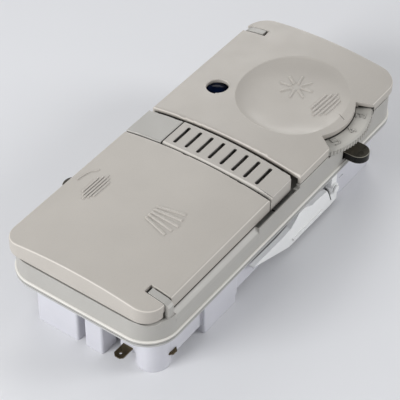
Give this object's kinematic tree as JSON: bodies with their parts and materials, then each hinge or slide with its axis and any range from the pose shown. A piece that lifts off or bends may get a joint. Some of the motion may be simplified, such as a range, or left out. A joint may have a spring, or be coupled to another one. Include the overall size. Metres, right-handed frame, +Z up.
{
  "type": "dishwasher detergent and rinse-aid dispenser",
  "caption": "Long crowned dispenser unit for a dishwasher door, with hinged detergent and rinse-aid lids, a slotted sliding latch between them, a dosing dial and a translucent rear housing.",
  "frame": {"origin": "centre of the bounding box in plan, on the plane of the feet", "axes": "X runs along the unit to the rinse-aid end, Y across it, Z up out of the lids"},
  "size_m": [0.242, 0.125, 0.0572],
  "materials": {
    "frame_grey": "satin moulded polypropylene",
    "lid_grey": "satin moulded polypropylene",
    "latch_grey": "satin moulded polypropylene",
    "dial_grey": "satin moulded polypropylene",
    "housing_natural": "milky natural polypropylene",
    "gasket_grey": "soft light grey rubber",
    "seal_rubber": "soft dark rubber",
    "steel": "bright stainless steel",
    "window_blue": "clear window over dark liquid",
    "lever_white": "white acetal",
    "motor_white": "white moulded plastic",
    "bolt_dark": "glossy black",
    "terminal_metal": "darkened brass"
  },
  "bodies": {
    "base": {"front_frame": "frame_grey", "detergent_cup": "frame_grey", "filler_collar": "frame_grey", "rear_housing": "housing_natural", "door_gasket": "gasket_grey", "detergent_hinge_pin": "steel", "rinse_hinge_pin": "steel", "latch_spring": "steel", "sight_window": "window_blue", "filler_strainer": "frame_grey", "lever_pivot_pin": "lever_white", "wax_motor": "motor_white", "bolt_spring_right": "steel", "bolt_spring_left": "steel", "terminal_front": "terminal_metal", "terminal_side": "terminal_metal", "housing_screw_1": "steel", "housing_screw_2": "steel", "housing_screw_3": "steel", "housing_screw_4": "steel"},
    "detergent_lid": {"detergent_lid": "lid_grey", "detergent_lid_seal": "seal_rubber"},
    "rinse_lid": {"rinse_lid": "lid_grey", "rinse_lid_seal": "seal_rubber"},
    "latch": {"latch_button": "latch_grey"},
    "dial": {"dosing_dial": "dial_grey"},
    "lever": {"actuator_lever": "lever_white"},
    "bolt_right": {"mounting_bolt_right": "bolt_dark"},
    "bolt_left": {"mounting_bolt_left": "bolt_dark"}
  },
  "joints": [
    {"name": "detergent_lid_hinge", "type": "hinge", "parent": "base", "child": "detergent_lid", "pos_m": [-0.115, 0, 0.048], "axis": [0, -1, 0], "range_deg": [0, 90]},
    {"name": "rinse_lid_hinge", "type": "hinge", "parent": "base", "child": "rinse_lid", "pos_m": [0.1162, 0, 0.05035], "axis": [0, 1, 0], "range_deg": [0, 90]},
    {"name": "latch_slide", "type": "slide", "parent": "base", "child": "latch", "axis": [1, 0, 0], "range_m": [0, 0.0022], "stiffness_N_per_m": 400, "springref_m": -0.002, "deforming": ["latch_spring"]},
    {"name": "dial_turn", "type": "hinge", "parent": "base", "child": "dial", "pos_m": [0.065, -0.0125, 0.047], "axis": [0, 0, 1], "range_deg": [-15, 15]},
    {"name": "lever_swing", "type": "hinge", "parent": "base", "child": "lever", "pos_m": [0.051, -0.048, 0.015], "axis": [0, 1, 0], "range_deg": [0, 3.5], "stiffness_Nm_per_rad": 0.1, "springref_deg": -2.86},
    {"name": "bolt_right_slide", "type": "slide", "parent": "base", "child": "bolt_right", "axis": [0, 1, 0], "range_m": [0, 0.008], "stiffness_N_per_m": 200, "springref_m": -0.004, "deforming": ["bolt_spring_right"]},
    {"name": "bolt_left_slide", "type": "slide", "parent": "base", "child": "bolt_left", "axis": [0, -1, 0], "range_m": [0, 0.008], "stiffness_N_per_m": 200, "springref_m": -0.004, "deforming": ["bolt_spring_left"]}
  ]
}
